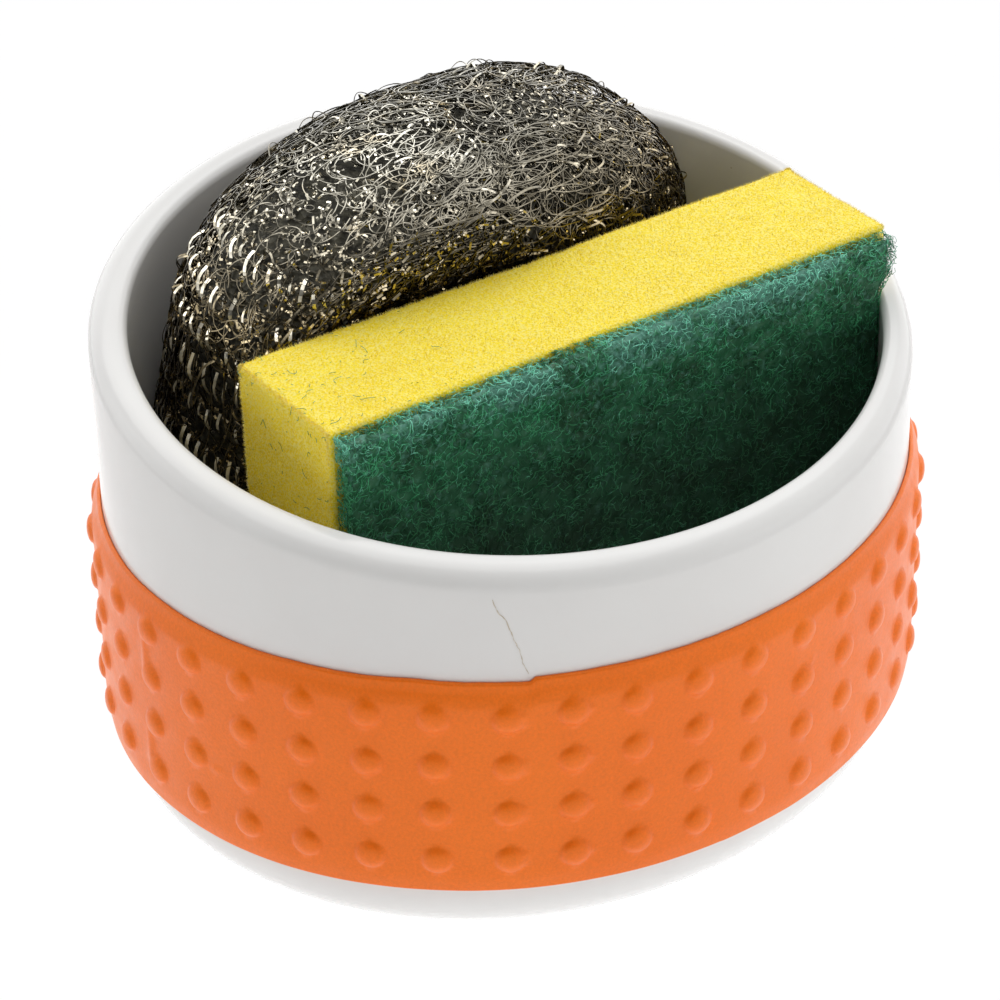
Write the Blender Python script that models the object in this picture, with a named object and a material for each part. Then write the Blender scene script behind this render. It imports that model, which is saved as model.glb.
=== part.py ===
"""Sink caddy: an oval ceramic bowl with a slanted rim and a studded silicone sleeve.

It holds a scrub sponge, standing on its long edge, and a knitted steel scourer behind it.
Lengths are in metres. X runs along the bowl's long axis, the low side of the rim faces -Y, Z is up.
The origin is on the table, under the middle of the bowl.
"""

import math

import bmesh
import bpy
from mathutils import Vector

# Bowl
BOWL_WIDTH = 0.1320
BOWL_DEPTH = 0.1198
RIM_HEIGHT = 0.0782
RIM_SLANT = math.radians(9.3)
WALL = 0.0054
LIP_ROUND = 0.0030
FLOOR = 0.0060
FOOT_ROUND = 0.0155
FLOOR_ROUND = 0.0100
FOOT_RING = 0.0060
FOOT_RECESS = 0.0012
OPENING_SHIFT = 0.0008

# Silicone sleeve
SLEEVE_BASE = 0.0150
SLEEVE_TOP = 0.0540
SLEEVE_WALL = 0.0014
SLEEVE_EDGE = 0.0004
STUD_WIDTH = 0.0050
STUD_HEIGHT = 0.0009
STUD_RISE = 0.00866
STUD_FIRST_HEIGHT = 0.0208
STUD_START = 0.0036
STUD_ROWS = 4
STUD_COLUMNS = 40

# Scrub sponge, measured before its corners are pressed in by the bowl
SPONGE_LENGTH = 0.1020
SPONGE_HEIGHT = 0.0785
FOAM_THICKNESS = 0.0244
PAD_THICKNESS = 0.0032
SPONGE_EDGE = 0.0008
SPONGE_X = 0.0035
SPONGE_FRONT = 0.0268
SPONGE_TURN = math.radians(-2.6)

# Steel scourer, measured before it is pressed between the sponge and the bowl
SCOURER_LENGTH = 0.1010
SCOURER_THICKNESS = 0.0516
SCOURER_UPPER = 0.0367
SCOURER_LOWER = 0.0700
SCOURER_CENTRE = (0.0051, 0.0269, 0.0670)
SCOURER_LEAN = math.radians(15.5)
SCOURER_TILT = math.radians(9.8)
SCOURER_TURN = math.radians(11.5)
SCOURER_SQUARENESS = 0.8

# Fits: the gap that two touching pieces keep, and how far a cutter runs past its cut
FIT_GAP = 0.0003
OVERRUN = 0.0300

# Facets
OVAL_STEPS = 2 * STUD_COLUMNS
ROUND_STEPS = 6
LIP_STEPS = 8
EDGE_STEPS = 2
ARC_SAMPLES = 1440
SCOURER_STEPS = 36
SCOURER_RINGS = 18
SCOURER_END_SHARE = 0.3
STUD_SIDES = 8

# A stud's outline: shares of its radius and, at each, of its height
STUD_RADIUS_SHARES = (1.0, 0.62)
STUD_HEIGHT_SHARES = (0.0, 0.66)

# Where a stud's rings start, at the lower corner of its cell
STUD_FIRST_ANGLE = math.radians(225)

MATERIALS = {
    "ceramic_bowl": ((0.86, 0.85, 0.83), 0.12, 0.0),
    "silicone_band": ((0.83, 0.15, 0.03), 0.55, 0.0),
    "sponge_foam": ((0.90, 0.70, 0.02), 0.90, 0.0),
    "scouring_pad": ((0.01, 0.14, 0.09), 0.85, 0.0),
    "steel_scourer": ((0.45, 0.43, 0.40), 0.30, 1.0),
}


def clear_scene():
    for item in list(bpy.context.scene.objects):
        bpy.data.objects.remove(item, do_unlink=True)


def make_material(name):
    colour, roughness, metallic = MATERIALS[name]
    material = bpy.data.materials.new(name)
    material.use_nodes = True
    shader = material.node_tree.nodes["Principled BSDF"]
    shader.inputs["Base Color"].default_value = (*colour, 1.0)
    shader.inputs["Roughness"].default_value = roughness
    shader.inputs["Metallic"].default_value = metallic
    return material


def add_object(name, mesh_data, sharp_angle=math.radians(40)):
    """Turn a bmesh into a smooth-shaded object with its own material."""
    bmesh.ops.recalc_face_normals(mesh_data, faces=mesh_data.faces)
    mesh = bpy.data.meshes.new(name)
    mesh_data.to_mesh(mesh)
    mesh_data.free()
    mesh.shade_smooth()
    mesh.set_sharp_from_angle(angle=sharp_angle)
    piece = bpy.data.objects.new(name, mesh)
    bpy.context.scene.collection.objects.link(piece)
    if name in MATERIALS:
        mesh.materials.append(make_material(name))
    return piece


def make_guide(piece):
    """Keep an object as a cutter only."""
    piece.hide_render = True
    piece.display_type = "WIRE"
    return piece


def add_boolean(piece, cutter, operation):
    modifier = piece.modifiers.new(cutter.name, "BOOLEAN")
    modifier.operation = operation
    modifier.solver = "EXACT"
    modifier.object = cutter


def oval_ring(width, depth, inset, angles, centre_x=0.0):
    """Points of an oval, inset from a width and a depth, as pairs of X and Y."""
    half_width = width / 2 - inset
    half_depth = depth / 2 - inset
    return [(centre_x + half_width * math.cos(a), half_depth * math.sin(a)) for a in angles]


def wall_lengths():
    """Angles from the front of the bowl's wall, twice round it, and the lengths up to them."""
    step = 2 * math.pi / ARC_SAMPLES
    samples = [step * index - math.pi / 2 for index in range(2 * ARC_SAMPLES + 1)]
    lengths = [0.0]
    for angle in samples[:-1]:
        middle = angle + step / 2
        speed = math.hypot(BOWL_WIDTH / 2 * math.sin(middle), BOWL_DEPTH / 2 * math.cos(middle))
        lengths.append(lengths[-1] + speed * step)
    return samples, lengths


def even_angles(count, start):
    """Angles that split the bowl's wall into equal lengths, from a length past its front."""
    samples, lengths = wall_lengths()
    perimeter = lengths[ARC_SAMPLES]
    angles = []
    index = 0
    for number in range(count):
        target = start + perimeter * number / count
        while lengths[index + 1] < target:
            index += 1
        share = (target - lengths[index]) / (lengths[index + 1] - lengths[index])
        angles.append(samples[index] + (samples[index + 1] - samples[index]) * share)
    return angles


def loft(rings):
    """Join rings of points, from first to last, and close both ends."""
    mesh_data = bmesh.new()
    loops = [[mesh_data.verts.new(point) for point in ring] for ring in rings]
    count = len(loops[0])
    for lower, upper in zip(loops, loops[1:]):
        for index in range(count):
            after = (index + 1) % count
            mesh_data.faces.new((lower[index], lower[after], upper[after], upper[index]))
    mesh_data.faces.new(loops[0])
    mesh_data.faces.new(loops[-1])
    return mesh_data


def quarter_round(radius, steps):
    """Inset and height along a rounded outer corner, from the floor up to the wall."""
    points = []
    for index in range(steps + 1):
        angle = math.pi / 2 * index / steps
        points.append((radius - radius * math.sin(angle), radius - radius * math.cos(angle)))
    return points


def rim_height(y):
    """Top of the slanted rim above a place on the Y axis."""
    return RIM_HEIGHT + y * math.tan(RIM_SLANT)


def oval_angles():
    """The angles shared by the bowl, the sleeve and the bowl's hollow, so their facets agree."""
    return even_angles(OVAL_STEPS, STUD_START)


def hollow_rings(clearance, top):
    """Rings of the bowl's hollow, from its floor up, smaller all over by a clearance."""
    angles = oval_angles()
    rings = []
    for inset, height in quarter_round(FLOOR_ROUND, ROUND_STEPS):
        ring = oval_ring(BOWL_WIDTH, BOWL_DEPTH, WALL + clearance + inset, angles, OPENING_SHIFT)
        rings.append([(x, y, FLOOR + clearance + height) for x, y in ring])
    rings.append([(x, y, top) for x, y, _ in rings[-1]])
    return rings


def lip_rings(outer, inner):
    """The rounded lip: an arch from the outer wall over to the inner wall, along the slant."""
    rings = []
    for step in range(LIP_STEPS + 1):
        angle = math.pi * step / LIP_STEPS
        share = (1 - math.cos(angle)) / 2
        drop = LIP_ROUND * (1 - math.sin(angle))
        ring = []
        for (x0, y0), (x1, y1) in zip(outer, inner):
            x = x0 + (x1 - x0) * share
            y = y0 + (y1 - y0) * share
            ring.append((x, y, rim_height(y) - drop))
        rings.append(ring)
    return rings


def make_ceramic_bowl():
    """Foot ring with a shallow recess, round corner, upright wall, lip, and the hollow inside."""
    angles = oval_angles()
    rings = []
    recess_edge = FOOT_ROUND + FOOT_RING
    for inset, height in ((recess_edge + FOOT_RECESS, FOOT_RECESS), (recess_edge, 0.0)):
        ring = oval_ring(BOWL_WIDTH, BOWL_DEPTH, inset, angles)
        rings.append([(x, y, height) for x, y in ring])
    for inset, height in quarter_round(FOOT_ROUND, ROUND_STEPS):
        ring = oval_ring(BOWL_WIDTH, BOWL_DEPTH, inset, angles)
        rings.append([(x, y, height) for x, y in ring])
    outer = oval_ring(BOWL_WIDTH, BOWL_DEPTH, 0.0, angles)
    inner = oval_ring(BOWL_WIDTH, BOWL_DEPTH, WALL, angles, OPENING_SHIFT)
    rings.extend(lip_rings(outer, inner))
    hollow = hollow_rings(0.0, RIM_HEIGHT)[:-1]
    rings.extend(reversed(hollow))
    return add_object("ceramic_bowl", loft(rings))


class Sleeve:
    """The sleeve's outer face, unrolled: half columns along it and half rows up it."""

    def __init__(self):
        self.angles = oval_angles()
        self.mesh_data = bmesh.new()
        self.grid = {}
        self.cell_width = wall_lengths()[1][ARC_SAMPLES] / STUD_COLUMNS
        self.cells_base = STUD_FIRST_HEIGHT - STUD_RISE / 2

    def place(self, column, height, proud):
        """A point at a column, which may be a fraction, a height and a distance off the face."""
        low = math.floor(column)
        first = self.angles[low % OVAL_STEPS]
        second = self.angles[(low + 1) % OVAL_STEPS]
        turn = (second - first) % (2 * math.pi)
        angle = first + turn * (column - low)
        reach = FIT_GAP + SLEEVE_WALL + proud
        x = (BOWL_WIDTH / 2 + reach) * math.cos(angle)
        y = (BOWL_DEPTH / 2 + reach) * math.sin(angle)
        return self.mesh_data.verts.new((x, y, height))

    def crossing(self, column, row):
        """The shared point where two grid lines of the face meet."""
        key = (column % OVAL_STEPS, row)
        if key not in self.grid:
            height = self.cells_base + STUD_RISE / 2 * row
            self.grid[key] = self.place(key[0], height, 0.0)
        return self.grid[key]

    def add_stud(self, column, row):
        """One cell of the face: its square edge, then the rings of the dome, then its top."""
        steps = ((-1, -1), (0, -1), (1, -1), (1, 0), (1, 1), (0, 1), (-1, 1), (-1, 0))
        loops = [[self.crossing(column + across, row + up) for across, up in steps]]
        middle = self.cells_base + STUD_RISE / 2 * row
        for radius_share, height_share in zip(STUD_RADIUS_SHARES, STUD_HEIGHT_SHARES):
            radius = STUD_WIDTH / 2 * radius_share
            ring = []
            for side in range(STUD_SIDES):
                angle = STUD_FIRST_ANGLE + 2 * math.pi * side / STUD_SIDES
                across = radius * math.cos(angle) / (self.cell_width / 2)
                up = radius * math.sin(angle)
                ring.append(self.place(column + across, middle + up, STUD_HEIGHT * height_share))
            loops.append(ring)
        for outer, inner in zip(loops, loops[1:]):
            self.join(outer, inner)
        top = self.place(column, middle, STUD_HEIGHT)
        last = loops[-1]
        for side in range(STUD_SIDES):
            self.mesh_data.faces.new((last[side], last[(side + 1) % STUD_SIDES], top))

    def join(self, outer, inner):
        count = len(outer)
        for index in range(count):
            after = (index + 1) % count
            self.mesh_data.faces.new((outer[index], outer[after], inner[after], inner[index]))

    def edge_loops(self, edge, direction):
        """Loops over one rounded edge of the sleeve, from its outer face to its back."""
        loops = []
        for proud_centre, start in ((-SLEEVE_EDGE, 0.0), (SLEEVE_EDGE - SLEEVE_WALL, math.pi / 2)):
            for step in range(EDGE_STEPS + 1):
                angle = start + math.pi / 2 * step / EDGE_STEPS
                proud = proud_centre + SLEEVE_EDGE * math.cos(angle)
                height = edge - direction * SLEEVE_EDGE * (1 - math.sin(angle))
                loops.append([self.place(column, height, proud) for column in range(OVAL_STEPS)])
        return loops

    def build(self):
        for column in range(1, OVAL_STEPS, 2):
            for row in range(STUD_ROWS):
                self.add_stud(column, 2 * row + 1)
        bottom = [self.crossing(column, 0) for column in range(OVAL_STEPS)]
        top = [self.crossing(column, 2 * STUD_ROWS) for column in range(OVAL_STEPS)]
        loops = [top, *self.edge_loops(SLEEVE_TOP, 1)]
        loops.extend(reversed(self.edge_loops(SLEEVE_BASE, -1)))
        loops.append(bottom)
        for first, second in zip(loops, loops[1:]):
            self.join(first, second)
        return add_object("silicone_band", self.mesh_data)


def make_hollow_guide():
    """The room inside the bowl, with its upright walls carried on above the rim."""
    top = FLOOR + SPONGE_HEIGHT + OVERRUN
    return make_guide(add_object("hollow_guide", loft(hollow_rings(FIT_GAP, top))))


def make_box(name, size, centre):
    mesh_data = bmesh.new()
    bmesh.ops.create_cube(mesh_data, size=1.0)
    bmesh.ops.scale(mesh_data, vec=Vector(size), verts=mesh_data.verts)
    bmesh.ops.translate(mesh_data, vec=Vector(centre), verts=mesh_data.verts)
    return add_object(name, mesh_data)


def soften_edges(piece):
    modifier = piece.modifiers.new("soft_edges", "BEVEL")
    modifier.width = SPONGE_EDGE
    modifier.segments = EDGE_STEPS
    modifier.limit_method = "ANGLE"


def make_sponge_seat():
    """The empty that carries the sponge: on the floor, at the sponge's front face."""
    seat = bpy.data.objects.new("sponge_seat", None)
    bpy.context.scene.collection.objects.link(seat)
    seat.location = (SPONGE_X, -SPONGE_FRONT, FLOOR + FIT_GAP)
    seat.rotation_euler = (0.0, 0.0, SPONGE_TURN)
    return seat


def make_sponge(seat, hollow):
    """Foam block with the scouring pad bonded to its front face."""
    pad_size = (SPONGE_LENGTH, PAD_THICKNESS, SPONGE_HEIGHT)
    pad = make_box("scouring_pad", pad_size, (0.0, PAD_THICKNESS / 2, SPONGE_HEIGHT / 2))
    foam_size = (SPONGE_LENGTH, FOAM_THICKNESS, SPONGE_HEIGHT)
    foam_middle = PAD_THICKNESS + FIT_GAP + FOAM_THICKNESS / 2
    foam = make_box("sponge_foam", foam_size, (0.0, foam_middle, SPONGE_HEIGHT / 2))
    for piece in (pad, foam):
        piece.parent = seat
        soften_edges(piece)
        add_boolean(piece, hollow, "INTERSECT")


def make_sponge_guide(seat):
    """Everything in front of the foam's back face, which the scourer is pressed against."""
    depth = PAD_THICKNESS + FIT_GAP + FOAM_THICKNESS + FIT_GAP
    size = (BOWL_WIDTH, depth + BOWL_DEPTH, SPONGE_HEIGHT + 2 * OVERRUN)
    centre = (0.0, (depth - BOWL_DEPTH) / 2, SPONGE_HEIGHT / 2)
    guide = make_guide(make_box("sponge_guide", size, centre))
    guide.parent = seat
    return guide


def squared(value):
    """A cosine or sine made fuller, for a body between an egg and a pillow."""
    return math.copysign(abs(value) ** SCOURER_SQUARENESS, value)


def make_steel_scourer(hollow, sponge_guide):
    """A plump knitted pad that leans on the back wall and rests on the floor."""
    rings = []
    levels = [SCOURER_END_SHARE, *range(1, SCOURER_RINGS), SCOURER_RINGS - SCOURER_END_SHARE]
    for level in levels:
        rise = math.pi * level / SCOURER_RINGS - math.pi / 2
        height = squared(math.sin(rise)) * (SCOURER_UPPER if rise > 0 else SCOURER_LOWER)
        ring = []
        for step in range(SCOURER_STEPS):
            angle = 2 * math.pi * step / SCOURER_STEPS
            x = SCOURER_LENGTH / 2 * squared(math.cos(rise)) * squared(math.cos(angle))
            y = SCOURER_THICKNESS / 2 * squared(math.cos(rise)) * squared(math.sin(angle))
            ring.append((x, y, height))
        rings.append(ring)
    scourer = add_object("steel_scourer", loft(rings))
    scourer.location = SCOURER_CENTRE
    scourer.rotation_euler = (SCOURER_LEAN, SCOURER_TILT, SCOURER_TURN)
    add_boolean(scourer, hollow, "INTERSECT")
    add_boolean(scourer, sponge_guide, "DIFFERENCE")


def main():
    clear_scene()
    make_ceramic_bowl()
    Sleeve().build()
    hollow = make_hollow_guide()
    seat = make_sponge_seat()
    make_sponge(seat, hollow)
    make_steel_scourer(hollow, make_sponge_guide(seat))


main()
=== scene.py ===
import math

import bpy
import numpy as np
from mathutils import Matrix, Vector


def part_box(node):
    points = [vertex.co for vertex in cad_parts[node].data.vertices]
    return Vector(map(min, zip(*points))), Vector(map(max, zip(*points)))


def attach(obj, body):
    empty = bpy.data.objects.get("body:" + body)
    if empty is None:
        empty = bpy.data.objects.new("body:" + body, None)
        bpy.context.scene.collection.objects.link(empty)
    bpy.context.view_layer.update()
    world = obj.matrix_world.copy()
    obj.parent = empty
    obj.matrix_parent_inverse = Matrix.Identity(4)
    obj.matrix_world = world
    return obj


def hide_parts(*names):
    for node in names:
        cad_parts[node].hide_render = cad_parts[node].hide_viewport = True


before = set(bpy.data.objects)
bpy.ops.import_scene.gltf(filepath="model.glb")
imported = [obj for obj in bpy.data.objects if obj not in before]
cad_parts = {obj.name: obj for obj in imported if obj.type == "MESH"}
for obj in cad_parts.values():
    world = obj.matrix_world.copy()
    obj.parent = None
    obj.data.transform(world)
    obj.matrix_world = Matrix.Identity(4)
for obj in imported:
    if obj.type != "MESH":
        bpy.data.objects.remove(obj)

# The frame is in metres, and every length in this script is in millimetres
METRE = 1000.0
TURN = 2 * math.pi

# The body that each slot's pieces ride on
BODIES = {"glazed_ceramic": "bowl", "orange_silicone": "bowl", "yellow_foam": "sponge",
          "green_abrasive": "sponge", "steel_knit": "scourer"}

# Bowl: an oval wall with a slanted rim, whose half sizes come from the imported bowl
HALF_WIDTH, HALF_DEPTH = np.array(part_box("ceramic_bowl")[1])[:2] * METRE
WALL = 5.4
FLOOR = 6.0
FOOT_ROUND = 15.5
FLOOR_ROUND = 10.0
FOOT_RING = 6.0
FOOT_RECESS = 1.2
LIP_ROUND = 3.0
LIP_INNER_ROUND = 1.4
OPENING_SHIFT = 0.8
RIM_HEIGHT = 78.2
RIM_SLANT = math.radians(9.3)
GLAZE_WAVE = 0.05
GLAZE_WAVE_SIZE = 15.0
WALL_COLUMNS = 320
WALL_ROWS = 24

# Hairline crack in the glaze: places along the wall from the bowl's front, and heights
CRACK = ((-42.1, 66.6), (-41.6, 65.2), (-41.25, 64.2), (-40.1, 63.0), (-39.8, 61.9), (-39.4, 60.7),
         (-38.8, 59.0), (-38.3, 57.5), (-37.9, 55.8), (-37.5, 54.4), (-37.0, 53.2))
CRACK_WIDTH = 0.24
CRACK_RISE = 0.03
CRACK_ROOT = -0.1
CRACK_STEPS = 90

# Silicone sleeve. Each taper: how much thinner it is at that edge, and over what height
SLEEVE_BASE = 14.6
SLEEVE_TOP = 52.7
SLEEVE_WALL = 1.7
SLEEVE_SEAT = 0.02
SLEEVE_EDGE = 0.45
SLEEVE_TOP_ROUND = 0.5
TOP_TAPER = (1.05, 4.2)
BASE_TAPER = (0.30, 3.0)
SEAM_ARC = -36.6
SEAM_STEP = 0.75
SEAM_SAG_LENGTH = 16.0

# Studs, in one cell each of the sleeve's grid. Two columns stand a little out of line
STUD_RADIUS = 2.3
STUD_HEIGHT = 1.0
STUD_POWER = 0.5
STUD_ROWS = 4
STUD_COLUMNS = 40
STUD_RISE = 8.66
STUD_FIRST_HEIGHT = 20.8
STUD_FIRST_ARC = -1.36
STUD_SHIFTS = {36: 0.8, 37: 0.45}
CELL_COLUMNS = 22
CELL_ROWS = 18
CROWDED_SHARE = 0.76

# Moulding flaws on the sleeve: place along the wall, height, radius and how proud they stand
FLAWS = ((-90.2, 42.9, 0.55, -0.30), (10.4, 40.6, 0.45, 0.14), (11.8, 30.0, 0.35, -0.35),
         (-86.2, 28.4, 0.7, 0.22), (-49.9, 42.2, 0.9, -0.10), (-51.0, 35.0, 0.6, 0.12),
         (18.0, 25.6, 0.4, 0.2), (60.0, 33.0, 0.5, 0.2), (120.0, 40.0, 0.6, -0.2), (170.0, 24.0, 0.5, 0.15))

# Moulding ridges that join two studs of a column: place along the wall, lowest and highest height
RIDGES = ((-101.4, 38.5, 46.0), (-101.9, 21.0, 28.5))
RIDGE_HEIGHT = 0.4
RIDGE_WIDTH = 1.1

# Sponge, in its own frame: along its length, from its front face back, and up
SPONGE_SEAT = (3.5, -26.8, 6.3)
SPONGE_TURN = math.radians(-2.6)
SPONGE_LENGTH = 102.0
SPONGE_HEIGHT = 78.5
FOAM_THICKNESS = 24.4
PAD_THICKNESS = 3.2
BOND = 0.3
FOAM_ROUND = 1.0
FOAM_SWELL = 1.1
FOAM_SWELL_LENGTH = 9.0
PAD_DROP = 0.9
PAD_ROUND = 1.5
FOAM_LOW = np.array([-SPONGE_LENGTH / 2, PAD_THICKNESS + BOND, 0.0])
FOAM_HIGH = np.array([SPONGE_LENGTH / 2, PAD_THICKNESS + BOND + FOAM_THICKNESS, SPONGE_HEIGHT])
FOAM_BOX = (FOAM_LOW, FOAM_HIGH, FOAM_ROUND)
PAD_LOW = np.array([-SPONGE_LENGTH / 2, 0.0, 0.0])
PAD_HIGH = np.array([SPONGE_LENGTH / 2, PAD_THICKNESS, SPONGE_HEIGHT - PAD_DROP])
PAD_BOX = (PAD_LOW, PAD_HIGH, PAD_ROUND)

# Spikes of the foam: how many, and the share of them moved to its edges
FOAM_SPIKES = (("sponge_cell_walls", 40000, 0.05), ("sponge_edge_walls", 7000, 1.0))
# Share of painted light on the foam's edge spikes, for light through their thin cell walls
PAINTED_EDGE_LIGHT = 0.55

# Layers of fibres in the pad's front: how many, shade and how deep they lie. The deeper layer is darker,
# painted shade
PAD_LAYERS = (("pad_fibres_under", 5600, 0.60, 0.35), ("pad_fibres_front", 6800, 1.25, 0.0))
FIBRE_STEPS = 5
END_FIBRES = 900
TUFTS = 5200

# Crumbs of the pad on the foam: how many in all and on its top
CRUMBS = 120
TOP_CRUMBS = 66
CRUMB_RADIUS = 0.045

# Colours of the pad: deep and light fibre, pale fibre (for wear and painted light on the top edge), and a
# dark green for painted shade low down
GREENS = ((0.022, 0.185, 0.066), (0.064, 0.420, 0.180), (0.240, 0.700, 0.520), (0.045, 0.085, 0.050))

# Scourer: half sizes about its centre, its pose, the power that squares it off, and lengths for
# each radian round it and up it
SCOURER_HALF = (50.5, 25.8, 36.7)
SCOURER_LOWER = 70.0
SCOURER_CENTRE = (5.1, 26.9, 67.0)
SCOURER_ANGLES = (math.radians(15.5), math.radians(9.8), math.radians(11.5))
SCOURER_POWER = 0.8
END_BULGE = 4.2
CORE_DEPTH = 4.6
LEAST_REACH = 12.0
LEAST_CLIMB = 8.0
MEAN_CLIMB = 34.0

# Layers of the knit: depth, spacing of courses, pitch and radius of loops, shade, ribbon and twist. The
# deeper middle layer is darker, painted shade
KNIT_LAYERS = (("scourer_knit_outer", 0.8, 2.8, 4.8, 3.4, 0.58, (0.14, 0.20), 0.4),
               ("scourer_knit_middle", 2.1, 2.8, 4.3, 2.8, 0.36, (0.15, 0.30), 0.5))
FINE_LOOP_STEPS = 17
COARSE_LOOP_STEPS = 11

# Upright legs on the scourer's ends: first and last row above its middle, and the rows' spacing
END_ROWS = (19.5, -62.0, -7.2)
LEG_SPACING = 2.1
LEG_SLANT = -1.8
LEG_RIBBON = (0.54, 0.16)
LEG_STEPS = 6

# Bright bits of ribbon in the knit, whose steel is made lighter than the wires', a painted highlight
GLINTS = 13500
GLINT_RIBBON = (0.36, 0.10)
GLINT_PAINTED_LIGHT = 1.35

# Outlines of size one: a ribbon's wedge by width and height, and a fibre's triangle by radius
WEDGE = np.array([[-0.5, 0.5], [0.0, -0.5], [0.5, 0.5]])
TRIANGLE = np.stack([np.cos(TURN * np.arange(3) / 3), np.sin(TURN * np.arange(3) / 3)], -1)

# Steel and its golden colour, each in shade and in light. The golden is a real stain in patches and, low
# down, a painted reflection of the yellow foam
STEEL = ((0.24, 0.228, 0.185), (0.72, 0.695, 0.605))
BRASS = ((0.20, 0.145, 0.060), (0.66, 0.50, 0.24))

# Camera, from the fit to the photograph's outlines
CAMERA_PLACE = (-308.7, -407.3, 376.2)
CAMERA_TARGET = (-1.1, 0.9, 43.1)
CAMERA_ROLL = math.radians(1.18)
CAMERA_ANGLE = math.radians(14.912)

# Soft box overhead
LAMP_PLACE = (180.0, 320.0, 1250.0)
LAMP_TARGET = (0.0, 0.0, 40.0)
LAMP_SIZE = 1300.0
LAMP_POWER = 8.3

# Room: its dim and bright sides and its window, each as they light and as they are mirrored
ROOM_DIM = (0.20, 0.11)
ROOM_BRIGHT = (0.88, 1.95)
ROOM_BACK = (0.84, 0.36, -0.40)
ROOM_SPREAD = (-0.95, 0.15)
ROOM_UNDER = 3.2
WINDOW_LIGHT = (0.22, 1.20)
WINDOW_WAY = (-0.82, 0.42, 0.38)
WINDOW_SPREAD = (0.75, 0.90)

# Table: share of light that it lets through near the object and far off
TABLE_HALF = 2500.0
TABLE_THROUGH = (0.78, 0.05)
TABLE_NEAR = 93.0
TABLE_FAR = 195.0
TABLE_GLOW = (42.0, -38.0, 0.0)
TABLE_PLAIN = 0.90


# All random draws, in the order in which the pieces are made
RANDOM = np.random.default_rng(7)


def even(*shape):
    """Random numbers from 0 to 1."""
    return RANDOM.random(shape)


def bell(*shape):
    """Random numbers about 0 on the normal curve."""
    return RANDOM.normal(size=shape)


def lattice(cells, seed):
    """A repeatable number from 0 to 1 for each whole-numbered cell."""
    x, y, z = (cells[..., axis].astype(np.int64) for axis in range(3))
    mixed = (x * 374761393 + y * 668265263 + z * 1440662683 + seed * 974634777) & 0xFFFFFFFF
    mixed = ((mixed ^ (mixed >> 13)) * 1274126177) & 0xFFFFFFFF
    return ((mixed ^ (mixed >> 16)) & 0xFFFFFF) / 0xFFFFFF


def noise(points, size, seed):
    """Smooth noise from -1 to 1, with features of a given size."""
    scaled = np.asarray(points) / size
    base = np.floor(scaled)
    part = scaled - base
    part = part * part * (3 - 2 * part)
    total = np.zeros(scaled.shape[:-1])
    for corner in np.ndindex(2, 2, 2):
        weight = np.prod(np.where(corner, part, 1 - part), axis=-1)
        total += weight * lattice(base + corner, seed)
    return total * 2 - 1


def cell_edges(points, size, seed):
    """How much nearer the nearest scattered point is than the second, as a share of the cell size."""
    scaled = np.asarray(points) / size
    base = np.floor(scaled)
    nearest = np.full(len(scaled), 9.0)
    second = np.full(len(scaled), 9.0)
    for shift in np.ndindex(3, 3, 3):
        cell = base + np.array(shift) - 1
        spot = cell + np.stack([lattice(cell, seed + axis) for axis in range(3)], -1)
        gap = np.linalg.norm(scaled - spot, axis=1)
        second = np.minimum(second, np.maximum(gap, nearest))
        nearest = np.minimum(nearest, gap)
    return second - nearest


def unit(vectors):
    return vectors / np.maximum(np.linalg.norm(vectors, axis=-1, keepdims=True), 1e-9)


def smooth_step(values, low, high):
    part = np.clip((values - low) / (high - low), 0, 1)
    return part * part * (3 - 2 * part)


def lengths_along(points):
    """Lengths along a line of points, up to each of them."""
    steps = np.linalg.norm(np.diff(points, axis=0), axis=1)
    return np.concatenate([[0.0], np.cumsum(steps)])


def shaded(colours, share):
    """Colours made darker or lighter by a share."""
    return [tuple(value * share for value in colour) for colour in colours]


class Nodes:
    """A node tree that grows by one node after another."""

    def __init__(self, tree):
        self.tree = tree

    def add(self, kind, inputs=(), **settings):
        node = self.tree.nodes.new(kind)
        for key, value in settings.items():
            setattr(node, key, value)
        for key, value in dict(inputs).items():
            self.feed(node.inputs[key], value)
        return node

    def feed(self, socket, value):
        if isinstance(value, bpy.types.NodeSocket):
            self.tree.links.new(value, socket)
        elif socket.type == "RGBA":
            socket.default_value = (*value, 1.0)
        else:
            socket.default_value = value

    def remap(self, value, low, high, to_low=0.0, to_high=1.0):
        inputs = {"Value": value, "From Min": low, "From Max": high, "To Min": to_low, "To Max": to_high}
        return self.add("ShaderNodeMapRange", inputs).outputs["Result"]

    def math(self, operation, *values):
        return self.add("ShaderNodeMath", dict(enumerate(values)), operation=operation).outputs[0]

    def measure(self, operation, first, second):
        """A number worked out from two vectors."""
        return self.add("ShaderNodeVectorMath", {0: first, 1: second}, operation=operation).outputs["Value"]

    def blend(self, share, first, second):
        """A number between two numbers."""
        return self.add("ShaderNodeMix", {0: share, 2: first, 3: second}).outputs[0]

    def seen(self, rays):
        """1 for what the camera sees, also through clear matter."""
        return self.math("MAXIMUM", rays["Is Camera Ray"], rays["Is Transmission Ray"])

    def mix(self, share, first, second, way="MIX"):
        """A colour between two colours."""
        inputs = {0: share, 6: first, 7: second}
        return self.add("ShaderNodeMix", inputs, data_type="RGBA", blend_type=way).outputs[2]


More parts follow.
